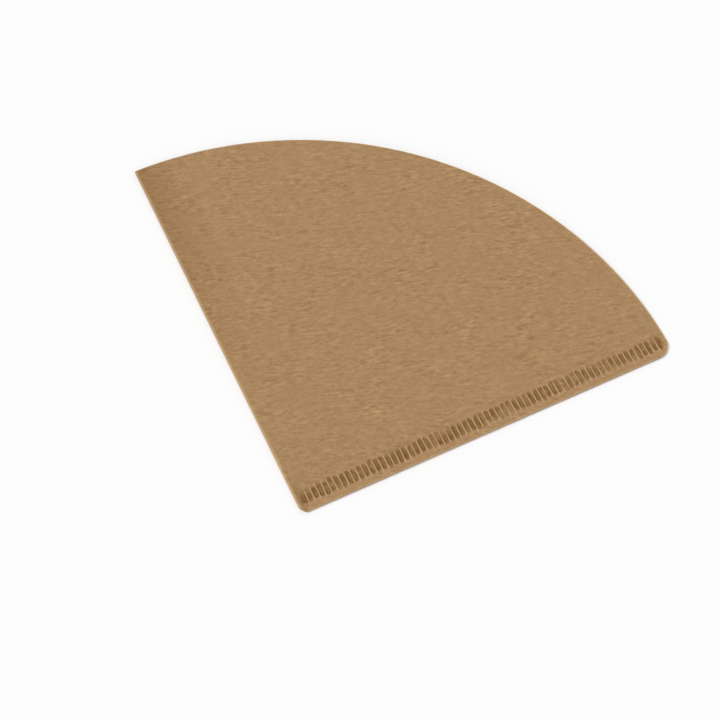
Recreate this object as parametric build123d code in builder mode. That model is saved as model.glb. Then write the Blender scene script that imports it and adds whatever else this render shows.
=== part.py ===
from build123d import *
import os

# A cone coffee filter, folded flat. One sheet of creped paper is creased along one side of a
# right-angled wedge and crimped to itself along the other side. The arc is the open mouth.
# The crease runs along +Y, the crimped seam along +X, and both leave the tip of the cone.

# Driving dimensions, in millimetres
slant_length = 125.0  # tip to rim, along the crease
ply = 0.25  # thickness of the paper
mouth_gap = 1.2  # space between the plies at the middle of the rim
crease_bend = 0.3  # inside radius of the crease, which springs open a little
crease_lift = 1.6  # width beside the crease over which the plies close up at the seam
bond_width = 0.6  # strip inside the crimp where the plies stay pressed together
crimp_width = 4.2  # length of one crimp pocket, across the seam
margin_width = 2.6  # plain double paper outside the crimp
crimp_start = 1.6  # crease to the first pocket
crimp_end_margin = 0.6  # least plain paper between the last pocket and the rim
pocket_pitch = 1.85  # one pocket to the next, along the seam
ridge_width = 0.2  # flat top of the ridge between two pockets
flank_width = 0.2  # run of a ridge's sloping side
ridge_rise = 0.2  # ridge above the flat paper
pocket_depth = 0.2  # pocket floor below the flat paper
rim_corner_radius = 5.0  # rounded corner where the seam meets the rim
tip_cut_width = 1.4  # slanted cut at the tip, measured across the crease
tip_cut_length = 2.1  # slanted cut at the tip, measured along the crease

# Sizes that follow
both_plies = 2 * ply
seam_width = crimp_width + margin_width
bonded_width = seam_width + bond_width
crease_radius = crease_bend + ply
die_height = 2 * (both_plies + mouth_gap + 2 * crease_bend + ridge_rise)  # clear of the paper
floor_width = pocket_pitch - ridge_width - 2 * flank_width
crimp_room = slant_length - crimp_end_margin - crimp_start - floor_width
pocket_count = 1 + int(crimp_room // pocket_pitch)
crimp_length = (pocket_count - 1) * pocket_pitch + floor_width

# The origin is under the middle of the folded filter, so the tip lies to one side of it
tip_x = (crease_radius - slant_length) / 2
tip_y = (seam_width - slant_length) / 2
sheet_plane = Plane(origin=(tip_x, tip_y, 0))
seam_plane = Plane(origin=(tip_x, tip_y, 0), x_dir=(1, 0, 0), z_dir=(0, -1, 0))

# Sections across the crease: at the seam's cut edge, and where the plies part above the seam
crease_plane = Plane(origin=(tip_x, tip_y - seam_width, ply), x_dir=(-1, 0, 0), z_dir=(0, 1, 0))
parting_plane = crease_plane.offset(bonded_width)

# Section across the mouth, square to the line that halves the wedge
out_of_mouth = Vector(1, 1, 0).normalized()
towards_crease = Vector(-1, 1, 0).normalized()
mouth_centre = parting_plane.origin + out_of_mouth * slant_length
mouth_plane = Plane(origin=mouth_centre, x_dir=towards_crease, z_dir=out_of_mouth)

# Corners of the narrow gap that the crease keeps open beside the seam, across the crease
gap_corners = [(-crease_lift, 0), (0, 0), (0, 2 * crease_bend)]


def crimp_profile():
    """Closed section of the crimped strip: pockets pressed in, ridges raised between them."""
    upper = []
    lower = []
    for pocket in range(pocket_count):
        floor_start = crimp_start + pocket * pocket_pitch
        floor_end = floor_start + floor_width
        ridge_start = floor_end + flank_width
        ridge_end = ridge_start + ridge_width
        upper += [(floor_start, both_plies - pocket_depth), (floor_end, both_plies - pocket_depth)]
        lower += [(floor_start, 0), (floor_end, 0)]
        if pocket < pocket_count - 1:
            upper += [(ridge_start, both_plies + ridge_rise), (ridge_end, both_plies + ridge_rise)]
            lower += [(ridge_start, ridge_rise), (ridge_end, ridge_rise)]
    return upper + lower[::-1]


def half_disc(radius):
    """Section of the bend, drawn in the sketch at hand on the outer side of the crease."""
    with Locations((0, crease_bend)):
        Circle(radius)
        Rectangle(radius, 2 * radius, align=(Align.MAX, Align.CENTER), mode=Mode.SUBTRACT)


# Outline of the folded sheet, as the die cuts it, running clear of the crease
with BuildSketch(sheet_plane) as outline:
    Circle(slant_length)
    with BuildLine():
        Polyline(
            (tip_cut_width - crease_radius, -seam_width),
            (2 * slant_length, -seam_width),
            (2 * slant_length, 2 * slant_length),
            (-tip_cut_width - crease_radius, 2 * slant_length),
            (-tip_cut_width - crease_radius, 2 * tip_cut_length - seam_width),
            close=True,
        )
    make_face(mode=Mode.INTERSECT)
    fillet(outline.vertices().group_by(Axis.Y)[0].sort_by(Axis.X)[-1], rim_corner_radius)

# Space between the plies, with the bend of the crease left out. Beside the seam it is a narrow
# gap along the crease. Above the seam it opens from there to the mouth.
with BuildPart() as space_inside:
    with BuildSketch(crease_plane):
        with BuildLine():
            Polyline(*gap_corners, close=True)
        make_face()
    extrude(amount=bonded_width)
    with BuildSketch(parting_plane):
        with BuildLine():
            Polyline(*gap_corners, close=True)
        make_face()
    with BuildSketch(mouth_plane):
        with BuildLine():
            Polyline((-slant_length, 0), (slant_length, 0), (slant_length, 2 * crease_bend))
            ThreePointArc((slant_length, 2 * crease_bend), (0, mouth_gap), (-slant_length, 0))
        make_face()
    loft()

with BuildPart() as folded_filter:
    # Two plies lying on each other
    with BuildSketch(sheet_plane):
        with Locations((0, -seam_width)):
            Rectangle(slant_length, bonded_width + slant_length, align=(Align.MIN, Align.MIN))
    extrude(amount=both_plies)

    # The upper ply arches over the space between them
    add(space_inside.part.moved(Location((0, 0, ply))))

    # Crease that joins the plies
    with BuildSketch(crease_plane):
        half_disc(crease_radius)
    extrude(amount=bonded_width + slant_length)

    # Open the space between the plies and inside the bend of the crease
    add(space_inside.part, mode=Mode.SUBTRACT)
    with BuildSketch(crease_plane):
        half_disc(crease_bend)
    extrude(amount=bonded_width + slant_length, mode=Mode.SUBTRACT)

    # Crimped seam
    with BuildSketch(seam_plane):
        with Locations((crimp_start, 0)):
            Rectangle(crimp_length, both_plies, align=(Align.MIN, Align.MIN))
    extrude(amount=crimp_width, mode=Mode.SUBTRACT)
    with BuildSketch(seam_plane):
        with BuildLine():
            Polyline(*crimp_profile(), close=True)
        make_face()
    extrude(amount=crimp_width)

    # Die cut of the rim, the seam, the rounded corner and the slanted tip
    extrude(outline.sketch, amount=die_height, mode=Mode.INTERSECT)

folded_filter.part.label = "folded_filter"

os.makedirs("parts", exist_ok=True)
export_step(folded_filter.part, "parts/folded_filter.step")

print("pockets in the crimp", pocket_count)
print("volume in cubic millimetres", round(folded_filter.part.volume, 1))
print("box", folded_filter.part.bounding_box())
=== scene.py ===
# %% [markdown]
# # A cone coffee filter, folded flat
# The object is one sheet of brown filter paper. A machine folds it along a crease, presses a
# row of small pockets through both plies along the other side, and cuts the rim as an arc.
# The solid model gives the true size. This script builds the paper itself around it: two
# plies with a soft bend between them, the crimped seam, the crepe and the fibres.

# %% Load the solid model as the frame
import math

import bmesh
import bpy
import numpy as np
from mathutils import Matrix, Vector, noise


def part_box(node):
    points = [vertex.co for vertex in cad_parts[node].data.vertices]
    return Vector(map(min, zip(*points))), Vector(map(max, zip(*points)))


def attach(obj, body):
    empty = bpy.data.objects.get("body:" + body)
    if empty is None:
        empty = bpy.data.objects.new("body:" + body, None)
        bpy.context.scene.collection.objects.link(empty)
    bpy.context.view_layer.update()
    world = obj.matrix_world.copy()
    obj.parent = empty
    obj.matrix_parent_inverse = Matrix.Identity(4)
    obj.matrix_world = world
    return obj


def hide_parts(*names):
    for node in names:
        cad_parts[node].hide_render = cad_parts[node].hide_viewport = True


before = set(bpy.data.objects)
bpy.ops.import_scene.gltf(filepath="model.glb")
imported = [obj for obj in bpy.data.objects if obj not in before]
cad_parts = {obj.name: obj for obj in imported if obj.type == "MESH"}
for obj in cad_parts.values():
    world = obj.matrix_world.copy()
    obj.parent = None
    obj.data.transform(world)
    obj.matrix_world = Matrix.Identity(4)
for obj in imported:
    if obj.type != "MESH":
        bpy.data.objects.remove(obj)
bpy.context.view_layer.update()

# %% [markdown]
# ## Sizes
# Lengths are in metres, written as a number of millimetres. The sheet has its own plan: the
# tip of the cone is the origin, x runs along the seam and y along the crease. The frame says
# where the tip lies and how long the paper is from tip to rim.

# %% Sizes of the paper
mm = 0.001
low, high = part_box("folded_filter")

ply = 0.25 * mm  # thickness of the paper
crease_bend = 0.3 * mm  # inside radius of the crease
crease_radius = crease_bend + ply
bend_length = math.pi * (crease_bend + ply / 2)  # paper in the bend, measured in mid-thickness
crease_lift = 1.6 * mm  # beside the crease, the plies close up over this width at the seam
mouth_gap = 1.0 * mm  # space at the middle of the rim, less than the solid's by the paper's relief
bond_line = 0.6 * mm  # the plies part this far above the crimp
parting_run = 4 * mm  # and pass from a narrow gap to a wide arch over this length

crimp_width = 4.2 * mm  # length of one pocket, across the seam
margin_width = 2.6 * mm  # plain double paper outside the crimp
seam_width = crimp_width + margin_width
crimp_start = 1.6 * mm  # crease to the first pocket
pocket_pitch = 1.85 * mm
pocket_floor = 1.25 * mm
pocket_count = 66
pocket_depth = 0.2 * mm
ridge_rise = 0.2 * mm
margin_gap = 0.12 * mm  # the plies spread this much at the seam's cut edge

rim_corner = 5.0 * mm  # rounded corner between the seam and the rim
tip_cut_width = 1.4 * mm  # slanted cut at the tip, across the crease
tip_cut_length = 2.1 * mm  # the same cut, along the crease

tip = Vector((low.x + crease_radius, low.y + seam_width, 0))
slant = high.x - tip.x
print("tip at", tuple(tip), "and", round(slant / mm, 2), "mm from tip to rim")

# %% [markdown]
# ## The outline
# Three curves bound the folded sheet: the arc of the rim with its rounded corner, the straight
# cut beside the seam, and the slanted cut that takes the tip off. They could be drawn as a curve
# and filled, but Blender would then choose the faces inside, and none would follow the pockets.
# Each is a small function instead, so that every row and column of the mesh can end exactly on
# the cut.

# %% Outline of the folded sheet
corner_y = rim_corner - seam_width
corner_x = math.sqrt((slant - rim_corner) ** 2 - corner_y**2)
corner_touch_y = corner_y * slant / (slant - rim_corner)


def rim_x(y):
    """How far the paper reaches along x at height y: the arc, then the rounded corner."""
    arc = np.sqrt(np.maximum(slant**2 - y**2, 0))
    corner = corner_x + np.sqrt(np.maximum(rim_corner**2 - (y - corner_y) ** 2, 0))
    return np.where(y > corner_touch_y, arc, corner)


def cut_y(x):
    """The lowest paper at x: the slanted tip, the straight cut, then the rounded corner."""
    tip_cut = tip_cut_length * np.maximum(1 - (x + crease_radius) / tip_cut_width, 0)
    corner = rim_corner - np.sqrt(np.maximum(rim_corner**2 - np.maximum(x - corner_x, 0) ** 2, 0))
    return -seam_width + tip_cut + corner


print("rounded corner centred at", round(corner_x / mm, 2), round(corner_y / mm, 2), "mm")

# %% [markdown]
# ## Heights
# The plan says where the paper is. These functions say how high it lies. The lower ply rests
# on the table. The upper ply arches over it, from nothing at the seam to the gap at the mouth,
# and the crease keeps its own bend open all the way. A cloth simulation could let the paper
# spring open, but it wouldn't keep to the solid's sizes, and plain functions do.


# %% Space between the plies
def smooth_step(start, end, value):
    """A soft step, from 0 at the start to 1 at the end."""
    t = np.clip((value - start) / (end - start), 0, 1)
    return t * t * (3 - 2 * t)


def opening(x, y):
    """Space between the plies: a shallow arch above the seam, a narrow gap beside it."""
    above = np.maximum(y - bond_line, 0)
    share = np.clip((x + above) / math.sqrt(2) / slant, 0, 1)
    across = above / np.maximum(x + above, 1e-9)
    crease_gap = 2 * crease_bend
    bow = 4 * mouth_gap - 2 * crease_gap
    arch = crease_gap * across + share * bow * across * (1 - across)
    beside_seam = crease_gap * (1 - smooth_step(0, crease_lift, x))
    leaving_seam = smooth_step(0, parting_run, above)
    margin = margin_gap * smooth_step(0, margin_width, -crimp_width - y)
    return beside_seam + (arch - beside_seam) * leaving_seam + margin


middle = np.array(slant / math.sqrt(2))
print("opening at the middle of the rim", round(float(opening(middle, middle)) / mm, 2), "mm")

# %% [markdown]
# ## The crimp
# No glue holds the seam. Toothed wheels press a row of pockets through both plies, so that
# their fibres lock. Between two pockets the paper stands up as a thin ridge. A pocket has
# rounded ends and a floor that springs back a little in the middle. On the inner side the wide
# sheet holds the paper flat, so a ridge sinks before the pockets end. On the outer side the
# narrow margin gives way, and a ridge runs on into it as a pucker.
#
# A modelled pocket could be copied along the seam, but then all would look the same, and paper
# is never quite even. So one function works the crimp out at any place. A slow noise bends the
# ridges, a quicker one shifts the ends of the pockets, and both change their depth.

# %% Sizes of the crimp
pocket_end = crimp_start + (pocket_count - 1) * pocket_pitch + pocket_floor
pocket_wall = 0.6 * mm  # slope at the ends of a pocket
pocket_round = 0.9 * mm  # a pocket is this much shorter beside a ridge than in its middle
pocket_crown = 0.35  # share of the depth that springs back in the middle
crown_start = 0.5  # where it begins, from 0 at a ridge to 1 in the middle of a pocket
pucker_length = 1.2 * mm  # a ridge fades out over this length
ridge_back = 1.0 * mm  # inside, a ridge starts to sink this far before the pockets end
outer_run = 0.25 * mm  # outside, the pockets' slopes run on this far into the margin
ridge_half = (pocket_pitch - pocket_floor) / 2
ridge_top, ridge_foot = 0.2 * ridge_half, 1.2 * ridge_half  # from the ridge's middle line
ridge_wander = 0.12 * mm  # how far a ridge strays from its place
inner_wander = 0.9 * mm  # how far the pockets' ends stray, inside
outer_wander = 0.8 * mm  # and outside
bending_patch = (4 * mm, 2.2 * mm)  # size of one feature of the slow noise, along and across
shifting_patch = (1.7 * mm, 3.4 * mm)  # the same for the quicker noise
usual_depth, least_depth = 0.9, 0.4  # of a pocket, as shares of the full depth
usual_height, least_height = 0.75, 0.3  # of a ridge
to_rim = round((slant - pocket_end) / mm, 2)
print(pocket_count, "pockets, and the last one ends", to_rim, "mm from the rim")


# %% Profile of the crimp
def paper_noise(x, y, length_x, length_y, seed):
    """Smooth noise from about -1 to 1, with features about length_x by length_y in size."""
    places = zip(np.ravel(x / length_x), np.ravel(y / length_y))
    values = [noise.noise((a, b, seed)) for a, b in places]
    return np.reshape(values, np.shape(x))


def crimp(x, y):
    """How much of a ridge and how much of a pocket there is at a place, both from 0 to 1."""
    past_inside, past_outside = y, -crimp_width - outer_run - y
    past_end = np.maximum(past_inside, past_outside)
    past_side = np.maximum(crimp_start - x, x - pocket_end)
    near = (past_end < pucker_length + inner_wander) & (past_side < ridge_half)
    bending, shifting = np.zeros_like(x), np.zeros_like(x)
    bending[near] = paper_noise(x[near], y[near], *bending_patch, 21.4)
    shifting[near] = paper_noise(x[near], y[near], *shifting_patch, 14.9)
    from_start = np.mod(x + ridge_wander * bending - crimp_start + ridge_half, pocket_pitch)
    from_ridge = pocket_pitch / 2 - np.abs(from_start - pocket_pitch / 2)
    to_middle = 2 * from_ridge / pocket_pitch
    wander = np.where(past_inside > past_outside, inner_wander, outer_wander) * shifting
    past_pocket = past_end + wander + pocket_round * (1 - to_middle) ** 2
    past_ridge = np.maximum(past_inside + ridge_back, past_outside) + wander

    beside = 1 - smooth_step(0, ridge_half, past_side)
    ridge = 1 - smooth_step(ridge_top, ridge_foot, from_ridge)
    depth = np.clip(usual_depth + bending + shifting, least_depth, 1)
    floor = depth * (1 - pocket_crown * smooth_step(crown_start, 1, to_middle))
    pocket_walls = 1 - smooth_step(-pocket_wall / 2, pocket_wall / 2, past_pocket)
    pocket = (1 - ridge) * floor * pocket_walls
    height = np.clip(usual_height + 0.5 * bending + shifting, least_height, 1)
    height = height * (1 - smooth_step(0, pucker_length, past_ridge))
    return ridge * height * beside, pocket * beside


pocket_middles = crimp_start + pocket_floor / 2 + pocket_pitch * np.arange(pocket_count)
middle_depths = crimp(pocket_middles, np.full(pocket_count, -crimp_width / 2))[1]
print("in their middles, pockets have", middle_depths.min().round(2), "to",
      middle_depths.max().round(2), "of the full depth")

# %% [markdown]
# ## Crepe and cockle
# Filter paper is creped: a blade scrapes the wet web off a drum and leaves short wrinkles
# across the way it ran. The sheet is cut a little aslant of them, and they run on around the
# crease, so they are worked out on the flat sheet. They are real relief, a few hundredths of a
# millimetre high, and so part of the mesh. Damp air adds a slow cockle to the whole sheet.
# A Displace modifier could do the same, but it would move the cut edges too.

# %% Crepe
crepe_height = 0.06 * mm
crepe_length = 2.4 * mm  # along a wrinkle
crepe_spacing = 0.95 * mm  # across the wrinkles, from crest to trough
crepe_lean = math.radians(-18)  # from the seam
short_length, short_spacing = crepe_length / 2.1, crepe_spacing / 1.9  # of shorter wrinkles
short_height = 0.5  # of those, as a share of the long ones' height
calm_length = 7 * mm  # wrinkles come in patches of about this size
calm_contrast = 0.9  # how much the patches differ


def crepe_strength(flat_x, y):
    """How strongly the sheet is creped at a place: about 0.6 in calm patches, 1.7 in others."""
    return np.exp(calm_contrast * paper_noise(flat_x, y, calm_length, calm_length, 8.3))


def crepe(flat_x, y):
    """Wrinkles at a place on the flat sheet, from -1 in a trough to 1 on a crest."""
    along = flat_x * math.cos(crepe_lean) + y * math.sin(crepe_lean)
    across = y * math.cos(crepe_lean) - flat_x * math.sin(crepe_lean)
    long_wrinkles = paper_noise(along, across, crepe_length, crepe_spacing, 3.7)
    short_wrinkles = paper_noise(along, across, short_length, short_spacing, 11.2)
    wrinkles = long_wrinkles + short_height * short_wrinkles
    return np.clip(wrinkles * crepe_strength(flat_x, y), -1, 1)


print("crepe of", round(crepe_height / mm, 3), "mm on paper of", round(ply / mm, 2), "mm")

# %% Heights of the plies
cockle_height = 0.05 * mm
cockle_length = 34 * mm
crepe_pressed_out = 0.85  # share of the crepe that the crimp flattens
clearance = 0.005 * mm  # keeps pressed plies from sharing one surface


def on_flat_sheet(x, side):
    """Where a place lies across the flat sheet. Side -1 is the lower ply, 1 the upper."""
    return side * (x + bend_length / 2)


def resting_height(x, y):
    """How far the folded sheet lifts off the table."""
    cockle = 0.5 + 0.5 * paper_noise(x, y, cockle_length, cockle_length, 5.1)
    return crepe_height + cockle_height * cockle


def surface_height(x, y, side, outside):
    """Height of one of the four faces: the outside or the inside of the lower or upper ply."""
    z = resting_height(x, y)
    if side > 0:
        z = z + ply + opening(x, y)
    if not outside:
        return z + (clearance if side > 0 else ply - clearance)
    ridge, pocket = crimp(x, y)
    pressed_flat = 1 - crepe_pressed_out * np.maximum(ridge, pocket)
    z = z + ridge_rise * ridge + crepe_height * pressed_flat * crepe(on_flat_sheet(x, side), y)
    return z if side < 0 else z + ply - pocket_depth * pocket


rim_height = surface_height(middle[None], middle[None], 1, True)[0]
print("top of the paper at the middle of the rim", round(float(rim_height) / mm, 2), "mm")

# %% [markdown]
# ## Rows and columns
# The mesh follows the paper. Beside the seam, columns are fine enough for the pockets and the
# puckers. Above it, rows lie close together, for the wrinkles, while columns lie one pocket
# apart and fan in towards the rim. Along the rim, rows come closer where the arc nears the
# crease, which keeps it round. A Subdivision Surface modifier could refine a coarse sheet, but
# it does so evenly, and the pockets need far more points than the plain paper.

# %% Rows and columns over the plan
row_step = 0.3 * mm
rim_step = 1.2 * mm
top_row_width = 1.6 * mm  # of the last row, at the crease's end of the rim
strip_top = 1.6 * mm  # the fine columns end here, just above the crimp

angles = [top_row_width / slant]
while slant * math.cos(angles[-1]) > strip_top + row_step:
    step = min(rim_step / slant, row_step / (slant * math.sin(angles[-1])))
    angles.append(angles[-1] + step)
body_y = slant * np.cos(np.array(angles[::-1][1:]))

floor_steps = pocket_floor * np.array([0, 0.25, 0.5, 0.75])
ridge_steps = pocket_floor + 2 * ridge_half * np.array([0, 0.17, 0.34, 0.5, 0.66, 0.83])
pocket_steps = np.concatenate([floor_steps, ridge_steps])
pocket_starts = crimp_start + pocket_pitch * np.arange(pocket_count)
crease_columns = crimp_start * np.array([0, 1, 2]) / 3
full_pockets = (pocket_starts[:-1, None] + pocket_steps).ravel()
last_pocket = pocket_starts[-1] + pocket_steps[:len(floor_steps) + 1]
seam_x = np.concatenate([crease_columns, full_pockets, last_pocket])

margin_rows = margin_width * np.array([0, 0.3, 0.6, 0.7, 0.8, 0.92]) - seam_width
end_rows = np.array([0, 0.15, 0.35, 0.8]) * mm
rows_above = np.array([0.25, 0.55, 1, 1.6]) * mm
middle_row = [-crimp_width / 2]
crimp_rows = np.concatenate([end_rows - crimp_width, middle_row, -end_rows[::-1]])
seam_y = np.concatenate([margin_rows, crimp_rows, rows_above])
seam_share = (seam_y - seam_y[0]) / (seam_y[-1] - seam_y[0])
print(len(seam_y), "rows and", len(seam_x), "columns beside the seam")
print(len(body_y), "rows above it")

# %% [markdown]
# ## Places on the plan
# A row and a column meet in a place. A plain grid would leave a stepped edge where the paper is
# cut round or aslant, and trimming it with a Boolean would leave slivers. So the strip beside
# the seam is squeezed to end on its cut, and the columns above it fan in to end on the rim.


# %% Places on the plan
def seam_places(x):
    """Plan of the strip beside the seam, squeezed where the cut slants or rounds."""
    y = cut_y(x) + seam_share[:, None] * (strip_top - cut_y(x))
    return np.broadcast_to(x, y.shape), y


def rim_end_places(shares):
    """The last columns of that strip, spread from the last pocket to the rim."""
    last = seam_x[-1]
    y = cut_y(last) + seam_share[:, None] * (strip_top - cut_y(last))
    y = np.repeat(y, len(shares), axis=1)
    return last + shares * (rim_x(y) - last), y


rim_end = rim_end_places(np.array([0.5, 1.0]))
strip = [np.hstack(pair) for pair in zip(seam_places(seam_x), rim_end)]
last_start = len(seam_x) - len(last_pocket)
pocket_columns = range(len(crease_columns), last_start, len(pocket_steps))
column_at = [*range(len(crease_columns)), *pocket_columns,
             last_start, len(seam_x) - 1, strip[0].shape[1] - 1]
column_share = strip[0][-1, column_at] / strip[0][-1, -1]
body = [rim_x(body_y)[:, None] * column_share,
        np.repeat(body_y[:, None], len(column_share), axis=1)]
print("strip of", strip[0].shape, "and body of", body[0].shape, "places")

# %% [markdown]
# ## The mesh
# A sheet of paper has an outside, an inside and cut edges. Both plies use the same plan, so the
# outside is the plan twice, joined around the crease. Nobody sees much of the inside, so it
# takes only some of those places. The cut edges are bands between the two. A band's faces
# have more corners on the fine side than on the coarse one, which keeps the mesh closed.
#
# The wrinkles lean, and columns lie far apart. Cells that ran straight from one column to the
# next would average a wrinkle away between them. So the cells lean as the wrinkles do: each
# joins a column to its neighbour two rows further down.

# %% Points and what they carry
points = []
marks = {name: [] for name in ("sheet_mm", "ridge", "pressed", "wrinkle", "creped", "edge_mm")}


def add_points(x, y, z, flat_x, ridge, pocket):
    """Adds points on the plan, with what the paper needs to know, and returns their numbers."""
    first = len(points)
    points.extend(zip(np.ravel(x), np.ravel(y), np.ravel(z)))
    from_edge = np.minimum(slant - np.hypot(x, y), y - cut_y(x))
    marks["sheet_mm"].extend(zip(np.ravel(flat_x) / mm, np.ravel(y) / mm, np.zeros(x.size)))
    marks["ridge"].extend(np.ravel(ridge))
    marks["pressed"].extend(np.ravel(pocket))
    marks["wrinkle"].extend(np.ravel(crepe(flat_x, y)))
    marks["creped"].extend(np.ravel(crepe_strength(flat_x, y)))
    marks["edge_mm"].extend(np.ravel(from_edge) / mm)
    return np.arange(first, len(points)).reshape(np.shape(x))


print("each point carries", ", ".join(marks))

# %% Faces from a net of points
faces = []


def add_faces(corners):
    """Adds a face for each list of point numbers, without repeats."""
    for face in corners:
        face = list(dict.fromkeys(int(corner) for corner in face))
        if len(face) > 2:
            faces.append(face)


def net(numbers):
    """The four corners of every cell of a net of points."""
    cells = numbers[:-1, :-1], numbers[:-1, 1:], numbers[1:, 1:], numbers[1:, :-1]
    return np.stack([cell.ravel() for cell in cells], axis=1)


def leaning_net(numbers, lean):
    """Cells that drop some rows from each column to the next, with triangles at both ends."""
    last = len(numbers) - 1
    for left, right in zip(numbers.T, numbers.T[1:]):
        for row in range(lean):
            yield left[row], right[0], left[row + 1]
        for row in range(lean, last):
            yield left[row], right[row - lean], right[row - lean + 1], left[row + 1]
        for row in range(last - lean, last):
            yield left[last], right[row], right[row + 1]


def between(fine, coarse, partners):
    """Faces between two edges. A partner is the fine point that a coarse point faces."""
    order = {int(number): place for place, number in enumerate(fine)}
    for a, b, start, end in zip(coarse, coarse[1:], partners, partners[1:]):
        yield [*fine[order[int(start)]:order[int(end)] + 1], b, a]


print("a net of 2 x 3 points has", len(net(np.arange(6).reshape(2, 3))), "cells")

# %% [markdown]
# ## Plies
# A Solidify modifier could give a plain sheet its thickness. Here the outside carries relief
# that the inside doesn't need, so each face of each ply is a net of its own.


# %% Plies
def add_ply(side, outside, rows, columns):
    """One face of one ply: its strip beside the seam, then its body."""
    numbers = []
    for (x, y), keep_rows, keep_columns in zip((strip, body), rows, columns):
        x, y = (place[np.ix_(keep_rows, keep_columns)] for place in (x, y))
        z = surface_height(x, y, side, outside)
        ridge, pocket = (share * outside for share in crimp(x, y))
        numbers.append(add_points(x, y, z, on_flat_sheet(x, side), ridge, pocket))
    # On the cut, the rounded corner brings the last columns to one point
    numbers[0][0, -2:] = numbers[0][0, -3] if outside else numbers[0][0, -2]
    return numbers


# The outside takes every place of the plan. The inside takes some rows and some columns of the
# strip and of the body, always with the first and the last.
every = [[np.arange(n) for n in shape] for shape in zip(strip[0].shape, body[0].shape)]
some_rows = [np.array([0, 2, 6, 10, 14, 16, 18]),
             np.unique([*range(3, 24, 4), *range(31, len(body_y) - 1, 8), len(body_y) - 1])]
last_column = len(column_at) - 1
some_columns = np.array([0, 1, 2, *range(3, last_column - 1, 3), last_column - 1, last_column])
inner_columns = [np.array(column_at)[some_columns], some_columns]

# Towards the end of the crease, columns come close together and cells need no lean.
rows_per_column = 2
leaning_rows = int(np.searchsorted(body_y, 0.9 * slant))
outer = {side: add_ply(side, True, every[0], every[1]) for side in (-1, 1)}
inner = {side: add_ply(side, False, some_rows, inner_columns) for side in (-1, 1)}
for side in (-1, 1):
    outer_strip, outer_body = outer[side]
    add_faces(net(outer_strip))
    add_faces(between(outer_strip[-1], outer_body[0], outer_strip[-1][column_at]))
    add_faces(leaning_net(outer_body[:leaning_rows + 1, ::side], rows_per_column))
    add_faces(net(outer_body[leaning_rows:]))
    add_faces(net(np.vstack(inner[side])))
print(len(points), "points and", len(faces), "faces in the plies")

# %% [markdown]
# ## Crease and cut edges
# The bend of the crease is half a tube that starts on one ply and ends on the other. A Bevel
# modifier could round a sharp fold, but it would bend the outside and the inside alike, and the
# paper between them would not keep its thickness. The tube takes its height from the plies, so
# it follows every rise of the paper. Then four bands close the sheet: one along the edge of each
# ply, and one at each end of the crease.


# %% Crease
def add_bend(lower, upper, rows, radius, bend_angles):
    """A half tube from the lower ply's first column to the upper ply's."""
    lower = np.concatenate([part[:, 0] for part in lower])
    upper = np.concatenate([part[:, 0] for part in upper])
    height = np.array(points)[:, 2]
    centre = (height[upper] + height[lower]) / 2
    half = (height[upper] - height[lower]) / 2
    x = -radius * np.cos(bend_angles)
    beside_seam = seam_places(x)[1][rows[0]]
    y = np.vstack([beside_seam, np.repeat(body_y[rows[1]][:, None], len(x), axis=1)])
    z = centre[:, None] + half[:, None] * np.sin(bend_angles)
    flat_x = bend_length * bend_angles / math.pi
    plain = np.zeros_like(y)
    bend = add_points(plain + x, y, z, plain + flat_x, plain, plain)
    return np.hstack([lower[:, None], bend, upper[:, None]])


bend_angles = np.linspace(-math.pi / 2, math.pi / 2, 11)
outer_bend = add_bend(outer[-1], outer[1], every[0], crease_radius, bend_angles[1:-1])
inner_bend = add_bend(inner[-1], inner[1], some_rows, crease_bend, bend_angles[2:-1:2])
add_faces(net(outer_bend))
add_faces(net(inner_bend))
print("crease of", outer_bend.shape, "points outside and", inner_bend.shape, "inside")


# %% Cut edges
def edge_of(strip_numbers, body_numbers):
    """The cut edge of a ply, from the tip along the seam, up the rim and back to the crease."""
    chain = [strip_numbers[0], strip_numbers[1:, -1], body_numbers[:, -1], body_numbers[-1, -2::-1]]
    return list(dict.fromkeys(np.concatenate(chain).tolist()))


first_edge_face = len(faces)
for side in (-1, 1):
    kept = zip(outer[side], some_rows, inner_columns)
    partners = [part[np.ix_(rows, columns)] for part, rows, columns in kept]
    add_faces(between(edge_of(*outer[side]), edge_of(*inner[side]), edge_of(*partners)))
for end in (0, -1):
    add_faces(between(outer_bend[end], inner_bend[end], outer_bend[end][::2]))
print(len(faces) - first_edge_face, "faces on the cut edges")

# %% [markdown]
# ## The finished mesh
# The lists of points and faces become a mesh. Each point also carries what its colour depends
# on, as attributes: its place on the flat sheet, the ridge and the pocket there, the crepe, and
# how far it lies from a cut. The sheet could be unwrapped for a painted texture, but attributes
# are exact and leave no join. Then normals are turned outwards and open edges are counted, of
# which a closed sheet has none. Cut edges stay sharp, and the rest is shaded smooth.

# %% The filter as an object
mesh = bpy.data.meshes.new("creped_filter")
mesh.from_pydata((np.array(points) + np.array(tip)).tolist(), [], faces)
sheet_mm = mesh.attributes.new("sheet_mm", "FLOAT_VECTOR", "POINT")
sheet_mm.data.foreach_set("vector", np.ravel(marks["sheet_mm"]))
for name in ("ridge", "pressed", "wrinkle", "creped", "edge_mm"):
    mesh.attributes.new(name, "FLOAT", "POINT").data.foreach_set("value", marks[name])
is_edge = (np.arange(len(faces)) >= first_edge_face).astype(float)
mesh.attributes.new("cut_edge", "FLOAT", "FACE").data.foreach_set("value", is_edge)

work = bmesh.new()
work.from_mesh(mesh)
bmesh.ops.delete(work, geom=[v for v in work.verts if not v.link_faces], context="VERTS")
bmesh.ops.recalc_face_normals(work, faces=work.faces)
open_edges = sum(not edge.is_manifold for edge in work.edges)
volume = work.calc_volume(signed=True)
triangles = sum(len(face.verts) - 2 for face in work.faces)
work.to_mesh(mesh)
work.free()

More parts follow.
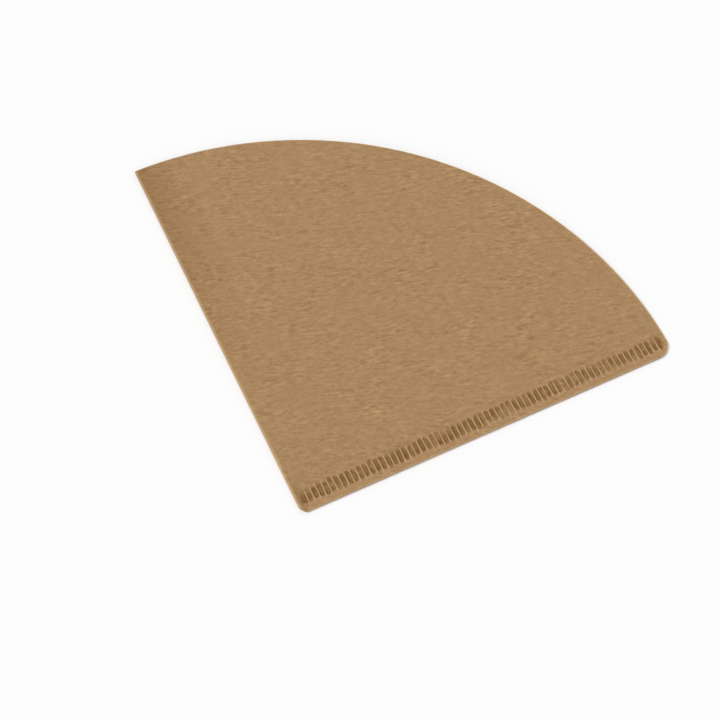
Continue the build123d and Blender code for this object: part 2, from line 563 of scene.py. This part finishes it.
sharp_from = math.radians(55)  # less than the turn at a cut edge
mesh.shade_smooth()
mesh.set_sharp_from_angle(angle=sharp_from)
creped_filter = bpy.data.objects.new("creped_filter", mesh)
bpy.context.scene.collection.objects.link(creped_filter)
print(triangles, "triangles,", open_edges, "open edges, volume", round(volume / mm**3), "cubic mm")

# %% [markdown]
# ## Unbleached creped kraft filter paper
# The real sheet is long softwood fibre, left brown and only lightly pressed. It is matt, with
# a faint fuzz. Five things show: troughs of the crepe, darkened with painted shade, pale and
# dark fibres, slow clouds where the pulp lay thicker, a fine crinkled grain that follows the
# crepe, whose pale and dark streaks are painted light and shade of wrinkles finer than the mesh,
# and now and then a fleck of bark.
#
# What the machine does to the sheet shows too. Paper in the pockets is denser and darker, with
# streaks where the teeth drag the fibres, and painted shade deepens it as in any recess. Beside
# the crease, most of all near the mouth, the paper is darkened a little with painted shade.
# Fibres that a fold, a tooth or a blade has broken stand up and look paler: on the ridges, along
# the crease and beside each cut. On the ridges and the crease the paleness is partly a painted
# highlight.
#
# Noise could use the object's own coordinates, but then it would smear around the crease. The
# mesh carries each point's place on the flat sheet, in millimetres, so every size below is a
# real one. A single fibre, 0.04 mm wide, is too fine to show, so fibres are drawn as strands
# of about 0.2 mm, and the streaks in the pockets are drawn 0.45 mm wide.
#
# Some nodes number their inputs. A Math node takes its terms as 0, 1 and 2. A Map Range takes
# a value as 0, the limits it runs between as 1 and 2, and the results there as 3 and 4. A Mix
# of colours takes the share as 0 and the colours as 6 and 7.


# %% Colours and nodes
def linear(hex_colour):
    """An sRGB hex colour as linear red, green, blue and alpha."""
    values = [int(hex_colour[i:i + 2], 16) / 255 for i in (1, 3, 5)]
    return (*[v / 12.92 if v <= 0.04045 else ((v + 0.055) / 1.055) ** 2.4 for v in values], 1)


def add_node(tree, kind, inputs=None, **settings):
    """Adds a node, sets it up, and fills or links its inputs."""
    node = tree.nodes.new(kind)
    for name, value in settings.items():
        setattr(node, name, value)
    for socket, value in (inputs or {}).items():
        if isinstance(value, bpy.types.NodeSocket):
            tree.links.new(value, node.inputs[socket])
        else:
            node.inputs[socket].default_value = value
    return node


def new_material(name):
    """An empty material and its node tree."""
    material = bpy.data.materials.new(name)
    material.use_nodes = True
    material.node_tree.nodes.clear()
    return material, material.node_tree


paper_dark, paper_light = linear("#8b673f"), linear("#c09c71")
bark_fleck, pressed_paper_and_shade = linear("#6b4a29"), linear("#744e1a")
pale_fibre_and_highlight, cut_fibre = linear("#d8b88c"), linear("#c9a981")
for name, brown in (("dark", paper_dark), ("light", paper_light), ("pressed", pressed_paper_and_shade)):
    print(name, "paper is linear", [round(value, 3) for value in brown[:3]])

# %% [markdown]
# ### Grain
# One noise with a lot of detail could stand for all of the grain, but wrinkles and fibres each
# have a length and a lean. So each kind of grain is one noise, stretched to its own length and
# width and turned to its own lean. A Mapping node of the texture kind divides by its scale, so
# that scale is the size of one feature. Flecks lie apart from each other, so they come from
# Voronoi cells, one to a cell.

# %% Grain of the paper
paper, tree = new_material("unbleached_creped_kraft_filter_paper")
mark = {name: add_node(tree, "ShaderNodeAttribute", attribute_name=name).outputs
        for name in (*marks, "cut_edge")}
grain_sizes = {  # length and width of one feature in mm, and its lean from the seam in degrees
    "clouds": (7.0, 5.0, 0),
    "painted_crepe_shading": (2.5, 0.85, -18),
    "fibres_along": (1.5, 0.22, -12),
    "fibres_across": (1.3, 0.24, 58),
    "press_streaks": (2.4, 0.45, 90),
    "flecks": (5.5, 4.0, 0),
}
grain = {}
for name, (length, width, lean) in grain_sizes.items():
    laid = add_node(tree, "ShaderNodeMapping", {
        "Vector": mark["sheet_mm"]["Vector"], "Rotation": (0, 0, math.radians(lean)),
        "Scale": (length, width, 1)}, vector_type="TEXTURE").outputs[0]
    kind = "ShaderNodeTexVoronoi" if name == "flecks" else "ShaderNodeTexNoise"
    texture = {"Vector": laid, "Scale": 1.0, "Detail": 2.0}
    if name == "painted_crepe_shading":
        texture["Distortion"] = 0.7  # crinkles them
    grain[name] = add_node(tree, kind, texture).outputs
print("grain of", ", ".join(grain))

# %% [markdown]
# ### Colour
# Wrinkles, clouds and fibres could each have a colour. Clouds and fibres are one brown, more or
# less deep, and the wrinkles add painted light and shade to it, so here they all add up to one
# tone, which runs from a dark brown to a pale one.

# %% Colour of the paper
# The wrinkles' share of the tone is painted shade in the troughs of the mesh's crepe, and the fine
# noise paints light and shade of finer crinkles, stronger in creped patches.
fine = add_node(tree, "ShaderNodeMath", {0: grain["painted_crepe_shading"][0], 1: 0.5},
                operation="SUBTRACT")
patchy = add_node(tree, "ShaderNodeMath", {0: fine.outputs[0], 1: mark["creped"]["Fac"]},
                  operation="MULTIPLY")
trough_shade_share, fine_crepe_shading_share = 0.08, 0.6
tone_shares = {"clouds": 0.08, "fibres_along": 0.4, "fibres_across": 0.3}
tone_reach = 0.35  # from the mean tone to the palest and the darkest
tone = add_node(tree, "ShaderNodeMath", {0: mark["wrinkle"]["Fac"], 1: trough_shade_share},
                operation="MULTIPLY")
tone = add_node(tree, "ShaderNodeMath", {0: patchy.outputs[0], 1: fine_crepe_shading_share, 2: tone.outputs[0]},
                operation="MULTIPLY_ADD")
for name, share in tone_shares.items():
    tone = add_node(tree, "ShaderNodeMath", {0: grain[name][0], 1: share, 2: tone.outputs[0]},
                    operation="MULTIPLY_ADD")
mean_tone = sum(tone_shares.values()) / 2
spread = add_node(tree, "ShaderNodeMapRange", {
    0: tone.outputs[0], 1: mean_tone - tone_reach, 2: mean_tone + tone_reach})
colour = add_node(tree, "ShaderNodeMix", {0: spread.outputs[0], 6: paper_dark, 7: paper_light},
                  data_type="RGBA").outputs[2]
print("tone of", ", ".join(tone_shares), "and two kinds of wrinkle")

# %% [markdown]
# ### Marks in the paper
# Each mark is a share from 0 to 1 and a colour, laid over the paper in turn. Some are painted
# light and shade: shade in the pockets and beside the crease, and highlights on the ridges and
# the crease. The marks could be painted on by hand. Here most shares come from the mesh, so a
# pocket is dark just where the paper is pressed in, and stays so when a size of the crimp changes.

# %% Flecks, and pressed paper with painted shade
fleck_core, fleck_end = 0.02, 0.05  # shares of a cell: as dark as it gets, and gone
fleck_from = 0.55  # cells with a random value above this have one
fleck = add_node(tree, "ShaderNodeMapRange", {
    0: grain["flecks"]["Distance"], 1: fleck_end, 2: fleck_core})
chosen = add_node(tree, "ShaderNodeMath", {0: grain["flecks"]["Color"], 1: fleck_from},
                  operation="GREATER_THAN")
fleck_share = add_node(tree, "ShaderNodeMath", {0: fleck.outputs[0], 1: chosen.outputs[0]},
                       operation="MULTIPLY")

# A pocket darkens for two reasons: the pressed paper is denser, and painted shade stands in for the
# shade that falls in a recess. Both come from the same share.
press = mark["pressed"]["Fac"]
full_press = 0.8  # a pocket this deep is as dark as it gets
streak_low, streak_high = 0.35, 0.65  # of the noise
palest_streak = 0.6  # share of the darkness that is left there
streaks = add_node(tree, "ShaderNodeMapRange", {
    0: grain["press_streaks"][0], 1: streak_low, 2: streak_high, 3: 1.0, 4: palest_streak})
darkened = add_node(tree, "ShaderNodeMapRange", {0: press, 1: 0.0, 2: full_press})
pocket_press_and_shade_share = add_node(tree, "ShaderNodeMath", {0: darkened.outputs[0], 1: streaks.outputs[0]},
                       operation="MULTIPLY")

# A strip of painted shade beside the crease, strongest towards the mouth.
crease_shade_core, crease_shade_width = 1.0, 14.0  # mm from the crease: darkest, and gone
crease_shade_from = 35.0  # mm from the tip
crease_shade_darkness = 0.4
across_sheet = add_node(tree, "ShaderNodeSeparateXYZ", {0: mark["sheet_mm"]["Vector"]})
from_crease = add_node(tree, "ShaderNodeMath", {0: across_sheet.outputs[0]}, operation="ABSOLUTE")
beside_crease = add_node(tree, "ShaderNodeMapRange", {
    0: from_crease.outputs[0], 1: crease_shade_width, 2: crease_shade_core, 3: 0.0, 4: crease_shade_darkness})
towards_mouth = add_node(tree, "ShaderNodeMapRange", {
    0: across_sheet.outputs[1], 1: crease_shade_from, 2: slant / mm})
painted_crease_shade_share = add_node(tree, "ShaderNodeMath", {
    0: beside_crease.outputs[0], 1: towards_mouth.outputs[0]}, operation="MULTIPLY")
print("pockets, and a strip of", crease_shade_width, "mm beside the crease, are darker")

# %% Broken fibres, painted highlights and cut edges
# Ridges and the crease are paler partly from broken fibres and partly from a painted highlight,
# where raised or bent paper would catch the lamp. The cut edges are only paler fibre.
ridge_paleness_and_highlight, crease_paleness_and_highlight, edge_paleness = 0.45, 0.3, 0.3
half_bend_mm = bend_length / 2 / mm
crease_fade = 0.35  # mm beside the bend
edge_core, edge_end = 0.1, 0.45  # mm from a cut: palest, and as the rest
ridge_highlight_share = add_node(tree, "ShaderNodeMath", {0: mark["ridge"]["Fac"], 1: ridge_paleness_and_highlight},
                       operation="MULTIPLY")
crease_highlight_share = add_node(tree, "ShaderNodeMapRange", {
    0: from_crease.outputs[0], 1: half_bend_mm + crease_fade, 2: half_bend_mm,
    3: 0.0, 4: crease_paleness_and_highlight})
edge_share = add_node(tree, "ShaderNodeMapRange", {
    0: mark["edge_mm"]["Fac"], 1: edge_end, 2: edge_core, 3: 0.0, 4: edge_paleness})
overlays = ((fleck_share, bark_fleck),
            (painted_crease_shade_share, pressed_paper_and_shade), (pocket_press_and_shade_share, pressed_paper_and_shade),
            (ridge_highlight_share, pale_fibre_and_highlight), (crease_highlight_share, pale_fibre_and_highlight), (edge_share, pale_fibre_and_highlight))
for share, over in overlays:
    colour = add_node(tree, "ShaderNodeMix", {0: share.outputs[0], 6: colour, 7: over},
                      data_type="RGBA").outputs[2]
colour = add_node(tree, "ShaderNodeMix", {0: mark["cut_edge"]["Fac"], 6: colour, 7: cut_fibre},
                  data_type="RGBA").outputs[2]
print(len(overlays), "overlays, and the cut edge")

# %% [markdown]
# ### Finish
# Paper without size or coating scatters light. It is rough, with hardly any gloss, and loose
# fibre ends give it a faint sheen at a glancing angle. The fuzz could be hair, but it is finer
# than the mesh and would only show as a blur, so it is bump. Pressed paper is a little smoother.

# %% Finish of the paper
fuzz_height = 0.02 * mm
loose_roughness, pressed_roughness = 0.92, 0.78
fuzz = add_node(tree, "ShaderNodeMath", {0: grain["fibres_along"][0], 1: grain["fibres_across"][0]},
                operation="ADD")
relief = add_node(tree, "ShaderNodeBump", {
    "Strength": 0.6, "Distance": fuzz_height, "Height": fuzz.outputs[0]})
roughness = add_node(tree, "ShaderNodeMapRange", {
    0: press, 3: loose_roughness, 4: pressed_roughness})
finish = add_node(tree, "ShaderNodeBsdfPrincipled", {
    "Base Color": colour, "Roughness": roughness.outputs[0], "Normal": relief.outputs[0],
    "IOR": 1.47, "Specular IOR Level": 0.25, "Sheen Weight": 0.05, "Sheen Roughness": 0.6})
add_node(tree, "ShaderNodeOutputMaterial", {"Surface": finish.outputs[0]})
mesh.materials.append(paper)
print(paper.name, "has", len(tree.nodes), "nodes")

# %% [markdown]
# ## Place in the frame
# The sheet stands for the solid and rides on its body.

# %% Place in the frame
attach(creped_filter, "root")
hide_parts("folded_filter")

# %% [markdown]
# ## Floor
# The filter lies on a white studio floor: a board rolled with matt emulsion, which has no gloss
# and shows nothing but a soft shadow. The camera looks down on it, so a plain square is enough,
# with no curved backdrop.

# %% Floor
floor_paint, tree = new_material("matt_white_studio_floor")
paint = add_node(tree, "ShaderNodeBsdfPrincipled", {
    "Base Color": linear("#fdfdfd"), "Roughness": 0.95, "Specular IOR Level": 0.0})
add_node(tree, "ShaderNodeOutputMaterial", {"Surface": paint.outputs[0]})
floor_half = 1.5
floor_corners = [(-floor_half, -floor_half, 0), (floor_half, -floor_half, 0),
                 (floor_half, floor_half, 0), (-floor_half, floor_half, 0)]
floor_mesh = bpy.data.meshes.new("studio_floor")
floor_mesh.from_pydata(floor_corners, [], [(0, 1, 2, 3)])
floor_mesh.materials.append(floor_paint)
studio_floor = bpy.data.objects.new("studio_floor", floor_mesh)
bpy.context.scene.collection.objects.link(studio_floor)
print("floor of", 2 * floor_half, "m")

# %% [markdown]
# ## Light
# One large far lamp stands behind the filter on the crease's side, which models the crease, the
# pockets and the crepe, and a pale surrounding fills the rest. A lamp close by would light one
# side of the floor more than the other, so this one is a sun with a wide disc. The levels are
# shares of white: together they make 1 on a level sheet, so a colour renders as it is written.
# The camera itself, and anything shiny, sees the surrounding as plain white.

# %% Light
surround_share = 0.6
world = bpy.data.worlds.new("pale_surround")
bpy.context.scene.world = world
world.use_nodes = True
world.node_tree.nodes.clear()
rays = add_node(world.node_tree, "ShaderNodeLightPath").outputs
seen = rays["Is Camera Ray"]
for name in ("Is Glossy Ray", "Is Transmission Ray"):
    seen = add_node(world.node_tree, "ShaderNodeMath", {0: seen, 1: rays[name]},
                    operation="MAXIMUM").outputs[0]
level = add_node(world.node_tree, "ShaderNodeMapRange", {0: seen, 3: surround_share, 4: 1.0})
white = add_node(world.node_tree, "ShaderNodeBackground", {
    "Color": (1, 1, 1, 1), "Strength": level.outputs[0]})
add_node(world.node_tree, "ShaderNodeOutputWorld", {"Surface": white.outputs[0]})

towards_lamp = Vector((-0.6, 0.4, 0.7)).normalized()
lamp = bpy.data.lights.new("far_lamp", "SUN")
lamp.angle = math.radians(20)
lamp.energy = (1 - surround_share) * math.pi / towards_lamp.z
far_lamp = bpy.data.objects.new("far_lamp", lamp)
far_lamp.rotation_euler = towards_lamp.to_track_quat("Z", "Y").to_euler()
bpy.context.scene.collection.objects.link(far_lamp)
lamp_height = round(math.degrees(math.asin(towards_lamp.z)))
print("lamp of", round(lamp.energy, 2), "W per square metre,", lamp_height, "degrees up")

# %% [markdown]
# ## Camera
# The camera looks down on the filter from beyond its tip. It stands about four times the
# filter's length away, so the far rim is only a little smaller than the near seam. It could be
# moved by hand until the view looks right. Two angles, a distance and a focal length in pixels
# are fewer things to fit, and they keep the picture level.

# %% Camera
image_px = 720
focal_px = 1638.3
camera_turn, camera_height = math.radians(-25.255), math.radians(62.838)
camera_distance = 502.0 * mm
aim = tip + Vector((36.470, 31.540, 0.8)) * mm

back = Vector((math.sin(camera_turn) * math.cos(camera_height),
               -math.cos(camera_turn) * math.cos(camera_height), math.sin(camera_height)))
camera = bpy.data.objects.new("camera", bpy.data.cameras.new("camera"))
camera.data.lens = camera.data.sensor_width * focal_px / image_px
camera.location = aim + back * camera_distance
camera.rotation_mode = "QUATERNION"
camera.rotation_quaternion = (-back).to_track_quat("-Z", "Y")
bpy.context.scene.collection.objects.link(camera)
bpy.context.scene.camera = camera
bpy.context.scene.view_settings.view_transform = "Standard"
print("lens of", round(camera.data.lens, 2), "mm at", [round(c, 4) for c in camera.location])
